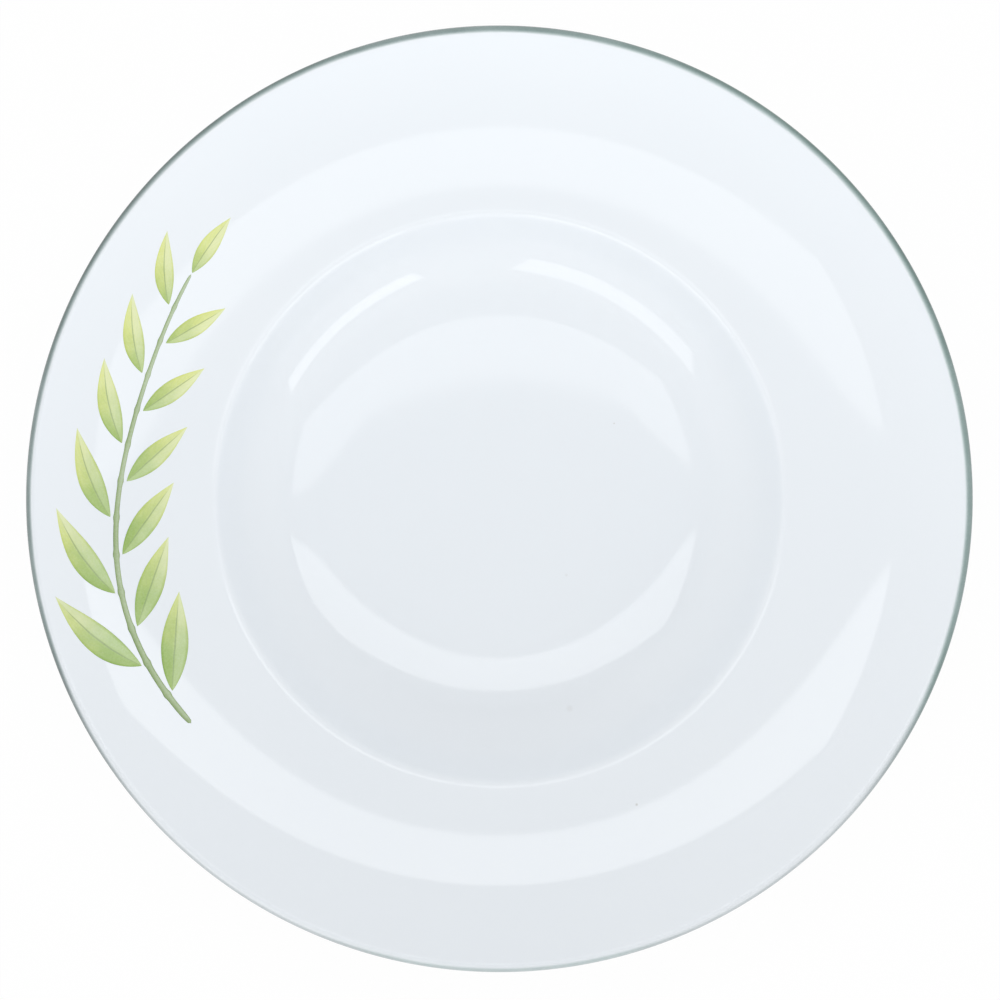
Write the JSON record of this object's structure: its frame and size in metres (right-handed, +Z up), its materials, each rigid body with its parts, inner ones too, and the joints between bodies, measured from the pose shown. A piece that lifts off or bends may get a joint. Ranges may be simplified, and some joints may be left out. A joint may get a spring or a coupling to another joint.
{
  "type": "salad plate",
  "caption": "Deep round salad plate in white glazed porcelain: sunken well, broad hollow rim, foot ring, fine grey-green line on the lip and a leaf sprig printed on the rim.",
  "frame": {"origin": "on the surface the plate stands on, below the centre of the plate", "axes": "+Z up, out of the well; +Y towards the top of the plate as it is looked down on, with the sprig on the left, towards -X"},
  "size_m": [0.2206, 0.2206, 0.0329],
  "materials": {
    "porcelain": "gloss",
    "lip_line": "gloss",
    "print_stem": "gloss",
    "print_leaf_deep": "gloss",
    "print_leaf_mid": "gloss",
    "print_leaf_light": "gloss"
  },
  "bodies": {
    "root": {"plate_body": "porcelain", "rim_band": "lip_line", "sprig_stem": "print_stem", "sprig_leaf_01": "print_leaf_deep", "sprig_leaf_02": "print_leaf_deep", "sprig_leaf_03": "print_leaf_deep", "sprig_leaf_04": "print_leaf_deep", "sprig_leaf_05": "print_leaf_mid", "sprig_leaf_06": "print_leaf_mid", "sprig_leaf_07": "print_leaf_mid", "sprig_leaf_08": "print_leaf_mid", "sprig_leaf_09": "print_leaf_mid", "sprig_leaf_10": "print_leaf_light", "sprig_leaf_11": "print_leaf_light", "sprig_leaf_12": "print_leaf_light", "sprig_leaf_13": "print_leaf_light"}
  },
  "joints": []
}
